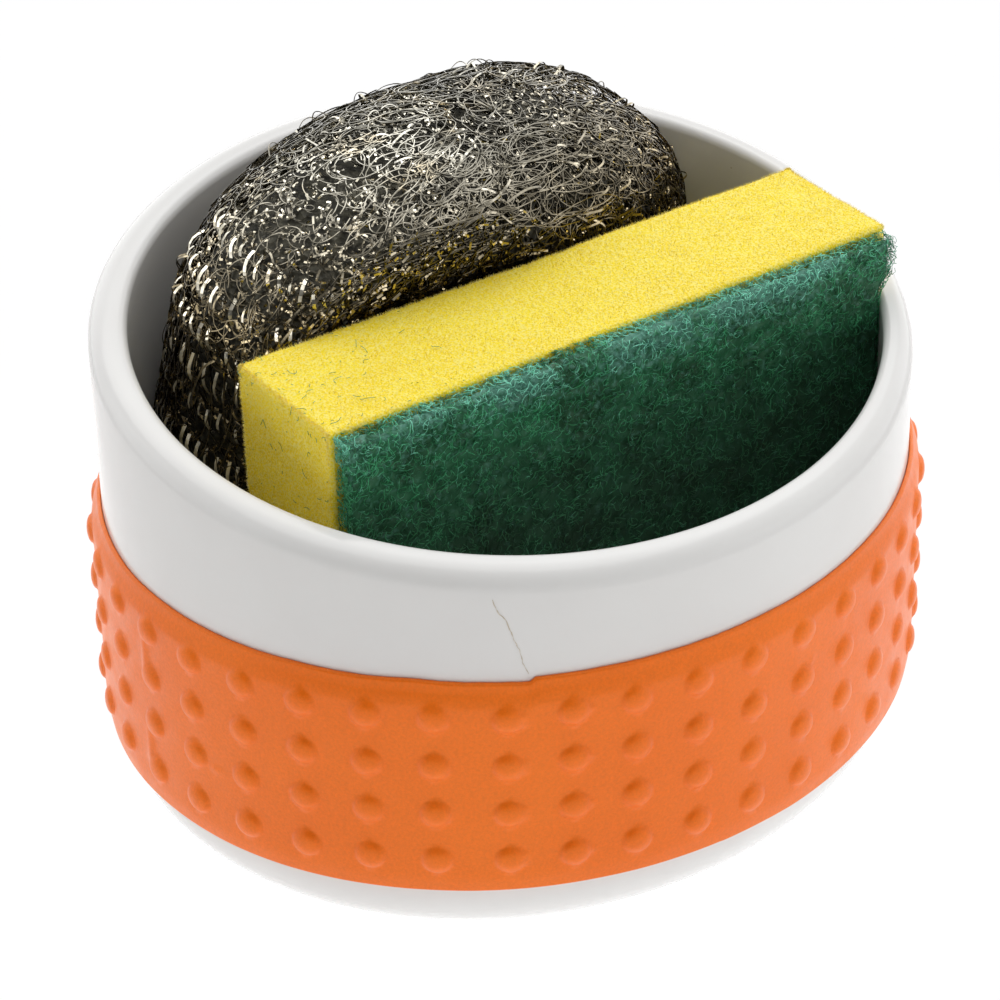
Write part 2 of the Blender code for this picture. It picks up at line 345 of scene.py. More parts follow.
class Shader(Nodes):
    """A material with a Principled surface, whose textures are sized in millimetres."""

    def __init__(self, name):
        self.material = bpy.data.materials.new(name)
        self.material.use_nodes = True
        super().__init__(self.material.node_tree)
        self.surface = self.tree.nodes["Principled BSDF"]
        self.place = self.add("ShaderNodeTexCoord").outputs["Object"]

    def set(self, **values):
        """Set the surface's own sockets, with underscores for the spaces in their names."""
        for key, value in values.items():
            self.feed(self.surface.inputs[key.replace("_", " ")], value)

    def height(self):
        return self.add("ShaderNodeSeparateXYZ", {"Vector": self.place}).outputs["Z"]

    def noise(self, size, detail=2.0, roughness=0.5):
        inputs = {"Vector": self.place, "Scale": METRE / size, "Detail": detail, "Roughness": roughness}
        return self.add("ShaderNodeTexNoise", inputs).outputs["Fac"]

    def patches(self, size, span, levels=(0.0, 1.0), detail=3.0, roughness=0.5):
        """Noise with a span of its values stretched over new levels."""
        return self.remap(self.noise(size, detail, roughness), *span, *levels)

    def cells(self, size):
        inputs = {"Vector": self.place, "Scale": METRE / size}
        return self.add("ShaderNodeTexVoronoi", inputs).outputs["Distance"]

    def specks(self, size, patch, largest):
        """Scattered dots, which are in some patches only."""
        radius = self.patches(patch, (0.58, 0.7), (0.0, largest), detail=2.0)
        return self.math("LESS_THAN", self.cells(size), radius)

    def layers(self, colour, *coats):
        """A colour under coats, each of a share and a colour."""
        for share, coat in coats:
            colour = self.mix(share, colour, coat)
        return colour

    def bump(self, height, strength, distance):
        inputs = {"Height": height, "Strength": strength, "Distance": distance / METRE}
        if self.surface.inputs["Normal"].links:
            inputs["Normal"] = self.surface.inputs["Normal"].links[0].from_socket
        self.set(Normal=self.add("ShaderNodeBump", inputs).outputs["Normal"])


def add_object(name, data):
    item = bpy.data.objects.new(name, data)
    bpy.context.scene.collection.objects.link(item)
    return item


def add_piece(name, points, faces, material, slot, smooth=True):
    """Write a mesh whose points are in the frame's directions and in millimetres."""
    mesh = bpy.data.meshes.new(name)
    mesh.from_pydata((np.reshape(points, (-1, 3)) / METRE).tolist(), [], faces)
    mesh.update()
    if smooth:
        mesh.shade_smooth()
    else:
        mesh.shade_flat()
    mesh.materials.append(material)
    piece = add_object(name, mesh)
    body = BODIES[slot]
    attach(piece, body)
    return piece


def ring_faces(rows, columns, looped=False):
    """Faces between closed rings of points, and if looped from the last ring to the first."""
    index = np.arange(rows * columns).reshape(rows, columns)
    if looped:
        index = np.vstack([index, index[:1]])
    after = np.roll(index, -1, axis=1)
    return np.stack([index[:-1], after[:-1], after[1:], index[1:]], -1).reshape(-1, 4).tolist()


def capped_rings(rows, columns):
    """Faces between rings of points, and over the first and the last ring."""
    first = list(range(columns))[::-1]
    last = list(range((rows - 1) * columns, rows * columns))
    return [*ring_faces(rows, columns), first, last]


def joined(parts):
    """One mesh from many pairs of points and faces."""
    starts = np.cumsum([0] + [len(points) for points, _ in parts]).tolist()
    faces = [[corner + start for corner in face] for (_, part), start in zip(parts, starts) for face in part]
    return np.concatenate([points for points, _ in parts]), faces


def box_surface(places):
    """Points and faces of a box whose sides are split at the given places along each axis."""
    counts = [len(place) for place in places]
    grid = np.stack(np.meshgrid(*[np.arange(count) for count in counts], indexing="ij"), -1)
    shell = ((grid == 0) | (grid == np.array(counts) - 1)).any(-1)
    index = np.full(counts, -1)
    index[shell] = np.arange(shell.sum())
    points = np.stack([np.asarray(places[axis])[grid[shell][:, axis]] for axis in range(3)], -1)
    faces = []
    for axis in range(3):
        for end in (0, -1):
            side = np.take(index, end, axis=axis)
            quads = np.stack([side[:-1, :-1], side[1:, :-1], side[1:, 1:], side[:-1, 1:]], -1)
            if (end == 0) != (axis == 1):
                quads = quads[..., ::-1]
            faces.extend(quads.reshape(-1, 4).tolist())
    return points, faces


def round_box(points, low, high, radius):
    """Round the edges of a box's surface. Gives the new points and the way out at each."""
    inner = np.clip(points, low + radius, high - radius)
    outward = unit(points - inner)
    return inner + radius * outward, outward


def graded(high, fine, coarse):
    """Places from 0 to a height, coarse low down and fine near the top."""
    places = [high]
    while places[-1] > 0:
        depth = (high - places[-1]) / high
        places.append(places[-1] - (fine + (coarse - fine) * depth))
    places[-1] = 0.0
    return places[::-1]


def rough_block(box, columns, spacing, relief):
    """A round-edged box of fine faces that stand in and out by a relief."""
    low, high, _ = box
    places = [np.linspace(low[axis], high[axis], columns[axis]) for axis in range(2)]
    points, faces = box_surface([*places, graded(high[2], *spacing)])
    points, outward = round_box(points, *box)
    points = points + outward * relief(points)[:, None]
    points[:, 2] = np.maximum(points[:, 2], 0.1)
    return points, faces


def sweep(paths, ups, outline):
    """Closed tubes along many paths with as many points each. The outline's second axis is up."""
    count, steps, _ = paths.shape
    across = unit(np.cross(unit(np.gradient(paths, axis=1)), ups))
    up = np.cross(across, unit(np.gradient(paths, axis=1)))
    sides = outline.shape[-2]
    outline = np.broadcast_to(outline, (count, steps, sides, 2))
    points = paths[:, :, None] + across[:, :, None] * outline[..., :1] + up[:, :, None] * outline[..., 1:]
    index = np.arange(count * steps * sides).reshape(count, steps, sides)
    after = np.roll(index, -1, axis=2)
    quads = np.stack([index[:, :-1], after[:, :-1], after[:, 1:], index[:, 1:]], -1).reshape(-1, 4)
    faces = quads.tolist() + index[:, 0, ::-1].tolist() + index[:, -1].tolist()
    return points.reshape(-1, 3), faces


def spikes(roots, tips, ups, width):
    """Slim three-sided spikes from their roots to their tips."""
    along = unit(tips - roots)
    across = unit(np.cross(along, ups))
    other = np.cross(along, across)
    corners = [roots + width[:, None] * (x * across + y * other) for x, y in TRIANGLE]
    points = np.stack([*corners, tips], 1)
    first = 4 * np.arange(len(roots))[:, None]
    sides = ((0, 2, 1), (0, 1, 3), (1, 2, 3), (2, 0, 3))
    faces = np.concatenate([first + np.array(side) for side in sides])
    return points.reshape(-1, 3), faces.tolist()


def rim_height(y):
    return RIM_HEIGHT + y * math.tan(RIM_SLANT)


def wall_table():
    """Angles round the bowl from its front, and the lengths along the wall up to them."""
    angles = np.linspace(-TURN / 4, 3 * TURN / 4, 4001)
    middle = (angles[1:] + angles[:-1]) / 2
    speed = np.hypot(HALF_WIDTH * np.sin(middle), HALF_DEPTH * np.cos(middle))
    return angles, np.concatenate([[0.0], np.cumsum(speed * np.diff(angles))])


WALL_ANGLES, WALL_LENGTHS = wall_table()
WALL_LENGTH = WALL_LENGTHS[-1]
STUD_PITCH = WALL_LENGTH / STUD_COLUMNS


def angle_at(arc):
    """The oval's angle at a length along the wall from the bowl's front."""
    return np.interp(np.mod(arc, WALL_LENGTH), WALL_LENGTHS, WALL_ANGLES)


def wall_point(arc, height, proud):
    """Points at lengths along the wall, at heights and distances off the wall."""
    angle = angle_at(arc)
    x = (HALF_WIDTH + proud) * np.cos(angle)
    y = (HALF_DEPTH + proud) * np.sin(angle)
    return np.stack(np.broadcast_arrays(x, y, height), -1)


def unrolled(arc, height=0.0):
    """Points of the wall laid out flat, where its noise is read."""
    return np.stack(np.broadcast_arrays(arc, height, 0.0), -1)


def past(arc, place):
    """How far along the wall lengths lie past a place, by the shorter way."""
    return np.mod(arc - place + WALL_LENGTH / 2, WALL_LENGTH) - WALL_LENGTH / 2


def drawn_in(points, clearance):
    """Places in plan, those past the hollow's wall moved in to a clearance short of it."""
    centre = np.array([OPENING_SHIFT, 0.0])
    offset = points[..., :2] - centre
    room = WALL + clearance
    share = np.hypot(offset[..., 0] / (HALF_WIDTH - room), offset[..., 1] / (HALF_DEPTH - room))
    return centre + offset / np.maximum(share, 1)[..., None]


def press_into_bowl(points, clearance):
    """Push points back inside the bowl's wall below its rim. Above it they may lean out a little."""
    points = points.copy()
    above = smooth_step(points[..., 2] - rim_height(points[..., 1]), 0.0, 6.0)[..., None]
    points[..., :2] = points[..., :2] * above + drawn_in(points, clearance) * (1 - above)
    depth = np.clip(FLOOR + FLOOR_ROUND - points[..., 2], 0, FLOOR_ROUND)
    inset = FLOOR_ROUND - np.sqrt(FLOOR_ROUND**2 - depth**2)
    pressed = drawn_in(points, clearance + inset)
    points[..., :2] = np.where(depth[..., None] > 0, pressed, points[..., :2])
    return points


def quarter_round(radius, steps):
    """Inset and height along a rounded outer corner, from the floor up to the wall."""
    angle = np.linspace(0, TURN / 4, steps + 1)
    return list(zip(radius * (1 - np.sin(angle)), radius * (1 - np.cos(angle))))


def glazed_ceramic():
    shader = Shader("glazed_ceramic")
    colour = shader.mix(shader.patches(40.0, (0.35, 0.65)), (0.77, 0.76, 0.745), (0.805, 0.80, 0.785))
    colour = shader.mix(shader.specks(6.0, 9.0, 0.028), colour, (0.60, 0.55, 0.49))
    bare = shader.remap(shader.height(), 0.0003, 0.0006, 1.0, 0.0)
    clay = shader.mix(shader.noise(0.8, 4.0), (0.70, 0.62, 0.52), (0.80, 0.74, 0.66))
    shader.set(Base_Color=shader.mix(bare, colour, clay))
    polish = shader.patches(25.0, (0.3, 0.7), (0.12, 0.17))
    shader.set(Roughness=shader.math("MAXIMUM", polish, shader.math("MULTIPLY", bare, 0.8)))
    shader.set(IOR=1.5, Specular_IOR_Level=0.38)
    shader.bump(shader.noise(4.0), 0.25, 0.05)
    return shader.material


def lip_profile():
    """Inset and drop over the lip: a wide outer round, a nearly flat top and a tight inner edge."""
    outer = np.linspace(0, TURN / 4, 14)
    inner = np.linspace(0, TURN / 4, 10)
    insets = [LIP_ROUND * (1 - np.cos(outer)), WALL - LIP_INNER_ROUND * (1 - np.sin(inner))]
    drops = [LIP_ROUND * (1 - np.sin(outer)), LIP_INNER_ROUND * (1 - np.cos(inner))]
    return list(zip(np.concatenate(insets), np.concatenate(drops)))


def make_bowl():
    """Foot, round corner, upright wall, lip, and the hollow inside."""
    angles = angle_at(WALL_LENGTH * np.arange(WALL_COLUMNS) / WALL_COLUMNS)
    rings = []

    def add_ring(inset, height, shift=0.0):
        x = shift + (HALF_WIDTH - inset) * np.cos(angles)
        y = (HALF_DEPTH - inset) * np.sin(angles)
        rings.append(np.stack([x, y, np.broadcast_to(height, x.shape)], -1))

    recess_edge = FOOT_ROUND + FOOT_RING
    add_ring(recess_edge + FOOT_RECESS, FOOT_RECESS)
    add_ring(recess_edge + FOOT_RECESS / 3, FOOT_RECESS / 2)
    add_ring(recess_edge, 0.0)
    for inset, height in quarter_round(FOOT_ROUND, 14):
        add_ring(inset, height)
    outer_top = rim_height(HALF_DEPTH * np.sin(angles)) - LIP_ROUND
    shares = np.linspace(0, 1, WALL_ROWS + 1)[1:-1]
    for share in shares:
        add_ring(0.0, FOOT_ROUND + (outer_top - FOOT_ROUND) * share)
    for inset, drop in lip_profile():
        y = (HALF_DEPTH - inset) * np.sin(angles)
        add_ring(inset, rim_height(y) - drop, OPENING_SHIFT * inset / WALL)
    inner_top = rim_height((HALF_DEPTH - WALL) * np.sin(angles)) - LIP_INNER_ROUND
    inner_base = FLOOR + FLOOR_ROUND
    for share in shares[::-1]:
        add_ring(WALL, inner_base + (inner_top - inner_base) * share, OPENING_SHIFT)
    for inset, height in reversed(quarter_round(FLOOR_ROUND, 12)):
        add_ring(WALL + inset, FLOOR + height, OPENING_SHIFT)
    points = np.array(rings)
    wave = noise(points, GLAZE_WAVE_SIZE, 11) + 0.4 * noise(points, GLAZE_WAVE_SIZE / 3, 12)
    wave = GLAZE_WAVE * (1 + wave) * (points[..., 2] > FOOT_RECESS)
    points -= unit(points * (1, 1, 0)) * wave[..., None]
    faces = capped_rings(len(rings), WALL_COLUMNS)
    bowl = add_piece("glazed_bowl", points, faces, glazed_ceramic(), "glazed_ceramic")
    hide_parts("ceramic_bowl")


def crack_stain():
    shader = Shader("crack_stain")
    share = shader.patches(0.7, (0.3, 0.7), detail=4.0)
    shader.set(Base_Color=shader.mix(share, (0.46, 0.37, 0.25), (0.74, 0.69, 0.61)), Roughness=0.6)
    return shader.material


def make_crack():
    """A ragged hairline in the glaze, from under the lip down to the sleeve's seam."""
    knots = np.arange(len(CRACK))
    steps = np.linspace(0, knots[-1], CRACK_STEPS)
    arc, height = (np.interp(steps, knots, marks) for marks in np.transpose(CRACK))
    trail = unrolled(arc, height)
    arc = arc + 0.12 * noise(trail, 0.6, 21)
    swell = np.interp(steps, (0, 3, 7, 10), (0.7, 1.2, 0.8, 0.5))
    width = CRACK_WIDTH * (0.55 + 0.45 * noise(trail, 0.5, 22)) * swell
    corners = ((-1, CRACK_ROOT), (-1, CRACK_RISE), (1, CRACK_RISE), (1, CRACK_ROOT))
    edges = [wall_point(arc + side * width / 2, height, rise) for side, rise in corners]
    faces = capped_rings(CRACK_STEPS, 4)
    add_piece("glaze_crack", np.stack(edges, 1), faces, crack_stain(), "glazed_ceramic", smooth=False)


def matte_silicone():
    shader = Shader("matte_silicone")
    colour = shader.mix(shader.patches(30.0, (0.3, 0.7)), (0.93, 0.157, 0.003), (0.98, 0.179, 0.005))
    grain = shader.patches(0.5, (0.3, 0.7), (0.90, 1.06), roughness=0.7)
    colour = shader.mix(1.0, colour, grain, "MULTIPLY")
    colour = shader.mix(shader.specks(5.0, 11.0, 0.03), colour, (0.95, 0.45, 0.22))
    shader.set(Base_Color=colour, Roughness=shader.patches(3.0, (0.3, 0.7), (0.32, 0.42), detail=4.0))
    shader.set(IOR=1.45, Specular_IOR_Level=0.68, Specular_Tint=(1.0, 0.78, 0.45))
    shader.bump(shader.noise(0.45, 3.0), 0.5, 0.05)
    shader.bump(shader.noise(2.6), 0.3, 0.06)
    return shader.material


def sleeve_relief(arc, height):
    """How far the sleeve's face stands proud: its studs, flaws and slight unevenness."""
    column = np.round((arc - STUD_FIRST_ARC) / STUD_PITCH)
    across = arc - STUD_FIRST_ARC - column * STUD_PITCH
    column = np.mod(column, STUD_COLUMNS).astype(int)
    across = across - np.array([STUD_SHIFTS.get(number, 0.0) for number in range(STUD_COLUMNS)])[column]
    row = np.clip(np.round((height - STUD_FIRST_HEIGHT) / STUD_RISE), 0, STUD_ROWS - 1)
    up = height - STUD_FIRST_HEIGHT - row * STUD_RISE
    share = np.hypot(across, up) / STUD_RADIUS
    uneven = lattice(unrolled(column, row), 31)
    relief = STUD_HEIGHT * (0.86 + 0.14 * uneven) * np.clip(1 - share**2, 0, 1) ** STUD_POWER
    for place, level, radius, proud in FLAWS:
        reach = np.hypot(past(arc, place), height - level)
        relief = relief + proud * np.exp(-((reach / radius) ** 2))
    for place, low, high in RIDGES:
        inside = smooth_step(height, low - 1, low + 1) * (1 - smooth_step(height, high - 1, high + 1))
        ridge = RIDGE_HEIGHT * inside * np.exp(-((past(arc, place) / RIDGE_WIDTH) ** 2))
        relief = np.maximum(relief, ridge)
    spot = unrolled(arc, height)
    return relief + 0.04 * noise(spot, 7.0, 32) + 0.015 * noise(spot, 1.6, 33)


def sleeve_top(arc):
    """The sleeve's top edge: level, but sagging to a torn step at its seam."""
    behind = np.mod(SEAM_ARC - arc, WALL_LENGTH)
    sag = SEAM_STEP * np.clip(1 - behind / SEAM_SAG_LENGTH, 0, 1) ** 0.6
    torn = 0.6 * np.exp(-(((arc - SEAM_ARC - 0.5) / 0.45) ** 2))
    spot = unrolled(arc)
    return SLEEVE_TOP - sag + torn + 0.10 * noise(spot, 9.0, 34) + 0.035 * noise(spot, 1.3, 35)


def sleeve_taper(height, base, top):
    """How much thinner the sleeve is near its two edges."""
    thin = 0.0
    for (most, reach), gap in ((TOP_TAPER, top - height), (BASE_TAPER, height - base)):
        thin = thin + most * (1 - smooth_step(gap, 0.0, reach))
    return thin


def crowded(cells, count, near, pitch):
    """Places over evenly spaced cells, most of the count in each within reach of its middle."""
    inner = round(count * CROWDED_SHARE)
    before = (count - inner) // 2
    steps = [np.linspace(-pitch / 2, -near, before, endpoint=False),
             np.linspace(-near, near, inner, endpoint=False),
             np.linspace(near, pitch / 2, count - inner - before, endpoint=False)]
    return (np.arange(cells)[:, None] * pitch + np.concatenate(steps)).ravel()


def make_sleeve():
    """The studded face, its two rounded edges and its back, as one closed band."""
    arc = crowded(STUD_COLUMNS, CELL_COLUMNS, STUD_RADIUS + 0.35, STUD_PITCH) + STUD_FIRST_ARC
    base = SLEEVE_BASE + 0.05 * noise(unrolled(arc), 8.0, 36)
    top = sleeve_top(arc)
    face = SLEEVE_SEAT + SLEEVE_WALL

    def rounded_edge(edge, way, radius, angles):
        proud = face - sleeve_taper(edge - way * radius, base, top)
        return [wall_point(arc, edge - way * radius * (1 - sine), proud - radius * (1 - cosine))
                for sine, cosine in zip(np.sin(angles), np.cos(angles))]

    rows = [wall_point(arc, base + SLEEVE_EDGE, SLEEVE_SEAT), wall_point(arc, base, SLEEVE_SEAT)]
    rows += rounded_edge(base, -1, SLEEVE_EDGE, np.linspace(TURN / 4, 0, 6))
    levels = STUD_FIRST_HEIGHT + crowded(STUD_ROWS, CELL_ROWS, STUD_RADIUS + 0.2, STUD_RISE)
    levels = np.concatenate([[16.0], levels, np.linspace(levels[-1] + 0.4, SLEEVE_TOP - 1.7, 5)])
    rounds = SLEEVE_EDGE + SLEEVE_TOP_ROUND
    for level in levels:
        share = (level - SLEEVE_BASE - SLEEVE_EDGE) / (SLEEVE_TOP - SLEEVE_BASE - rounds)
        height = base + SLEEVE_EDGE + (top - base - rounds) * share
        relief = sleeve_relief(arc, np.full_like(arc, level))
        rows.append(wall_point(arc, height, face - sleeve_taper(height, base, top) + relief))
    rows += rounded_edge(top, 1, SLEEVE_TOP_ROUND, np.linspace(0, TURN / 4, 9))
    rows.append(wall_point(arc, top, SLEEVE_SEAT))
    faces = ring_faces(len(rows), len(arc), looped=True)
    sleeve = add_piece("studded_sleeve", rows, faces, matte_silicone(), "orange_silicone")
    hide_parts("silicone_band")


def turn_sponge(directions):
    """Directions in the sponge's own frame, turned to the object's."""
    cosine = math.cos(SPONGE_TURN)
    sine = math.sin(SPONGE_TURN)
    return directions @ np.array([[cosine, sine, 0], [-sine, cosine, 0], [0, 0, 1]])


def seat_sponge(points, clearance):
    """Points of the sponge's own frame in the object's, pressed by the bowl."""
    return press_into_bowl(turn_sponge(points) + SPONGE_SEAT, clearance)


def yellow_foam(name, pale):
    """Foam with painted shade in the pits of its cells, a painted highlight on their thin walls and more
    orange lower down, and paler by a share, as painted light, where thin walls of its cells let the light
    through.
    """
    shader = Shader(name)
    pores = shader.cells(0.62)
    fine = shader.cells(0.36)
    # The foam is more orange lower down
    orange_below = shader.remap(shader.height(), 0.060, 0.084, 0.15, 0.0)
    colour = shader.layers((0.97, 0.735, 0.008),
                           (shader.patches(9.0, (0.35, 0.7)), (1.0, 0.79, 0.016)),
                           (orange_below, (1.0, 0.66, 0.003)),
                           # Painted shade: darker orange in the pits of the cells
                           (shader.remap(pores, 0.05, 0.30, 0.35, 0.0), (0.80, 0.50, 0.003)),
                           # Painted highlight: pale flecks on the thin cell walls, for the foam's sparkle
                           (shader.remap(fine, 0.42, 0.62, 0.0, 0.5), (1.0, 0.92, 0.34)),
                           (pale, (1.0, 0.92, 0.50)))
    shader.set(Base_Color=colour, Roughness=0.55, IOR=1.35)
    shader.bump(pores, 0.6, 0.2)
    shader.bump(fine, 0.6, 0.12)
    return shader.material


def foam_place(points, clearance):
    """From the sponge's frame to the object's, the foam's ends swollen and pressed by the bowl."""
    swollen = points.copy()
    ends = smooth_step(np.abs(points[..., 0]), SPONGE_LENGTH / 2 - FOAM_SWELL_LENGTH, SPONGE_LENGTH / 2)
    swollen[..., 0] += np.sign(points[..., 0]) * FOAM_SWELL * ends
    return seat_sponge(swollen, clearance)


def foam_wave(points):
    return 0.10 * noise(points, 2.5, 45) + 0.45 * noise(points, 22.0, 46)


def foam_relief(points):
    """How the foam's cut faces stand in and out: pits of its cells, crumbs and slow waves."""
    pits = smooth_step(cell_edges(points, 0.9, 41), 0.0, 0.45)
    return -0.10 * pits + 0.05 * noise(points, 0.9, 44) + foam_wave(points) - 0.1


def make_foam():
    """The foam block, faces pitted with cells, pressed into shape by the bowl."""
    points, faces = rough_block(FOAM_BOX, (250, 66), (0.42, 1.6), foam_relief)
    material = yellow_foam("yellow_foam", 0.0)
    foam = add_piece("foam_block", foam_place(points, 0.35), faces, material, "yellow_foam")
    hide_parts("sponge_foam")
    make_foam_bristle(material)
    make_crumbs()


def spread_on_foam(count, edge_share):
    """Random places on the foam's top, ends and back, some of them moved to its edges."""
    low, high = FOAM_LOW, FOAM_HIGH
    spots = low + (high - low) * even(count, 3)
    side = RANDOM.choice(4, count, p=(0.46, 0.26, 0.09, 0.19))
    spots[:, 2] = np.where(side == 0, high[2], high[2] * (1 - 0.7 * even(count) ** 1.2))
    for number, (axis, value) in enumerate(((2, high[2]), (0, low[0]), (0, high[0]), (1, high[1]))):
        spots[side == number, axis] = value
    edge = even(count) < edge_share
    chosen = even(count)
    on_back = edge & (chosen < 0.5)
    on_ends = edge & (chosen >= 0.5)
    on_posts = edge & (chosen >= 0.7)
    spots[on_back, 1] = high[1]
    spots[on_ends, 0] = np.where(even(count) < 0.6, low[0], high[0])[on_ends]
    spots[on_posts, 1] = np.where(even(count) < 0.7, high[1], low[1] + 0.4)[on_posts]
    spots[edge, 2] = high[2]
    spots[on_posts, 2] = high[2] * (1 - 0.5 * even(count) ** 1.5)[on_posts]
    return spots


def make_foam_bristle(material):
    """Cut cell walls of the foam: short spikes all over the faces that show, paler ones on its edges,
    painted light.
    """
    surfaces = (material, yellow_foam("foam_painted_edge_light", PAINTED_EDGE_LIGHT))
    for (name, count, edges), surface in zip(FOAM_SPIKES, surfaces):
        rounded, outward = round_box(spread_on_foam(count, edges), *FOAM_BOX)
        lean = unit(outward + 0.8 * bell(count, 3))
        length = 0.50 + 0.30 * even(count) ** 2
        roots = rounded + outward * (foam_wave(rounded) - 0.35)[:, None]
        tips = roots + lean * length[:, None]
        width = 0.045 + 0.035 * even(count)
        points, faces = spikes(roots, tips, bell(count, 3), width)
        add_piece(name, foam_place(points, 0.1), faces, surface, "yellow_foam", smooth=False)


def make_crumbs():
    """Green fibres that the scouring pad has shed on the foam, most of them by its near corner."""
    steps = 6
    flat = curled_paths(CRUMBS, steps, 0.35 + 2.6 * even(CRUMBS) ** 3, 0.7)
    spots = FOAM_LOW + (FOAM_HIGH - FOAM_LOW) * even(CRUMBS, 3)
    top = slice(TOP_CRUMBS)
    end = slice(TOP_CRUMBS, None)
    spots[top, 0] = FOAM_LOW[0] + 0.5 + 26 * even(TOP_CRUMBS) ** 1.8
    spots[end, 2] = FOAM_HIGH[2] * (1 - 0.5 * even(CRUMBS - TOP_CRUMBS) ** 1.3)
    path = np.repeat(spots[:, None], steps, axis=1)
    path[top, :, :2] += flat[top]
    path[top, :, 2] = FOAM_HIGH[2]
    path[end, :, 1:] += flat[end]
    path[end, :, 0] = FOAM_LOW[0]
    rounded, outward = round_box(np.clip(path, FOAM_LOW + (0, 0.6, 0), FOAM_HIGH), *FOAM_BOX)
    path = rounded + outward * (foam_wave(rounded) + 0.2)[..., None]
    points, faces = sweep(foam_place(path, 0.1), turn_sponge(outward + 0.1), TRIANGLE * CRUMB_RADIUS)
    add_green("pad_crumbs", points, faces, 0.45)


def green_nonwoven(name, shift):
    """Dull green fibre, paler teal along the pad's top edge from wear and painted light, and darker lower
    down with painted shade.
    """
    shader = Shader(name)
    deep, light, pale, painted_shade_green = shaded(GREENS, shift)
    colour = shader.mix(shader.patches(7.0, (0.35, 0.65)), deep, light)
    height = shader.height()
    # Paler teal towards the top edge: partly wear, partly painted light where light falls on the pad's
    # rounded top
    worn_and_lit_edge = shader.remap(height, 0.0765, 0.0838, 0.0, 0.38)
    worn_and_lit_edge = shader.math("MULTIPLY", worn_and_lit_edge, shader.patches(12.0, (0.38, 0.55), (0.25, 1.0), detail=2.0))
    fleck = shader.math("ADD", shader.noise(0.8, 3.0), worn_and_lit_edge)
    colour = shader.mix(shader.remap(fleck, 0.54, 0.80), colour, pale)
    # Painted shade: the fibre darker lower down, where the bowl's front wall shades the pad
    colour = shader.mix(shader.remap(height, 0.056, 0.079, 0.60, 0.0), colour, painted_shade_green)
    shader.set(Base_Color=colour, Roughness=shader.patches(1.2, (0.3, 0.7), (0.40, 0.65), detail=2.0))
    shader.set(IOR=1.5, Specular_IOR_Level=0.35)
    shader.bump(shader.noise(0.3, 3.0), 0.5, 0.08)
    return shader.material


def add_green(name, points, faces, shift, smooth=True):
    add_piece(name, points, faces, green_nonwoven(name, shift), "green_abrasive", smooth)


def pad_wave(points):
    return 0.25 * noise(points, 9.0, 55) + 0.12 * noise(points, 3.0, 56)


def pad_relief(points):
    """How the matted slab's faces stand in and out."""
    pits = smooth_step(cell_edges(points, 1.3, 51), 0.0, 0.5)
    return -0.5 * pits + 0.25 * noise(points, 1.1, 54) + pad_wave(points) - 0.35


def make_pad():
    """The abrasive web: a matted slab, darkened as painted shade, under layers of tightly curled fibres."""
    points, faces = rough_block(PAD_BOX, (200, 8), (0.5, 1.2), pad_relief)
    # The slab's green is darker than the fibres', painted shade for the depth under them
    web = green_nonwoven("green_web", 0.40)
    pad = add_piece("abrasive_web", seat_sponge(points, 0.5), faces, web, "green_abrasive")
    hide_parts("scouring_pad")
    make_pad_fibres()
    make_pad_end_fibres()
    make_pad_tufts()


def curled_paths(count, steps, length, curl):
    """Flat wandering paths round the origin, whose heading drifts and turns."""
    heading = TURN * even(count, 1) + np.zeros((1, steps))
    bend = curl * bell(count, 1)
    wander = np.cumsum(0.25 * bell(count, steps), axis=1)
    heading = heading + bend * np.linspace(-1, 1, steps) + wander
    step = (length / steps)[:, None]
    path = np.stack([np.cumsum(np.cos(heading) * step, 1), np.cumsum(np.sin(heading) * step, 1)], -1)
    return path - path.mean(axis=1, keepdims=True)


def pad_surface(across, along):
    """Points on the pad's front and, past its height, over its rounded top towards the foam."""
    flat = PAD_HIGH[2] - PAD_ROUND
    over = np.clip(along - flat, 0, None)
    angle = np.clip(over / PAD_ROUND, 0, TURN / 4)
    y = PAD_ROUND * (1 - np.cos(angle)) + np.clip(over - PAD_ROUND * TURN / 4, 0, None)
    z = np.minimum(along, flat) + PAD_ROUND * np.sin(angle)
    out = np.stack([np.zeros_like(y), -np.cos(angle), np.sin(angle)], -1)
    return np.stack([across, y, z], -1), out


def add_fibres(name, path, out, girth, shift):
    """Green fibres along paths in the sponge's own frame."""
    points, faces = sweep(seat_sponge(path, 0.2), turn_sponge(out + 0.2), TRIANGLE * girth)
    add_green(name, points, faces, shift)


def make_pad_fibres():
    """Curled fibres in the pad's front and over its top."""
    reach = PAD_HIGH[2] + PAD_THICKNESS + 0.5
    for name, count, shift, deep in PAD_LAYERS:
        flat = curled_paths(count, FIBRE_STEPS, 1.3 + 2.0 * even(count), 1.6)
        across = PAD_LOW[0] + SPONGE_LENGTH * even(count)
        along = reach * (1 - 0.98 * even(count) ** 1.35)
        across = np.clip(across[:, None] + flat[..., 0], PAD_LOW[0] - 0.4, PAD_HIGH[0] + 0.4)
        along = np.clip(along[:, None] + flat[..., 1], 0.3, reach)
        path, out = pad_surface(across, along)
        hump = np.sin(np.linspace(0, TURN / 2, FIBRE_STEPS)) * even(count, 1)
        lift = 0.30 * even(count, 1) + 0.35 * hump - 0.25 - deep
        path = path + out * (lift + pad_wave(path))[..., None] + 0.03 * bell(*path.shape)
        girth = (0.035 + 0.03 * even(count))[:, None, None, None]
        add_fibres(name, path, out, girth, shift)


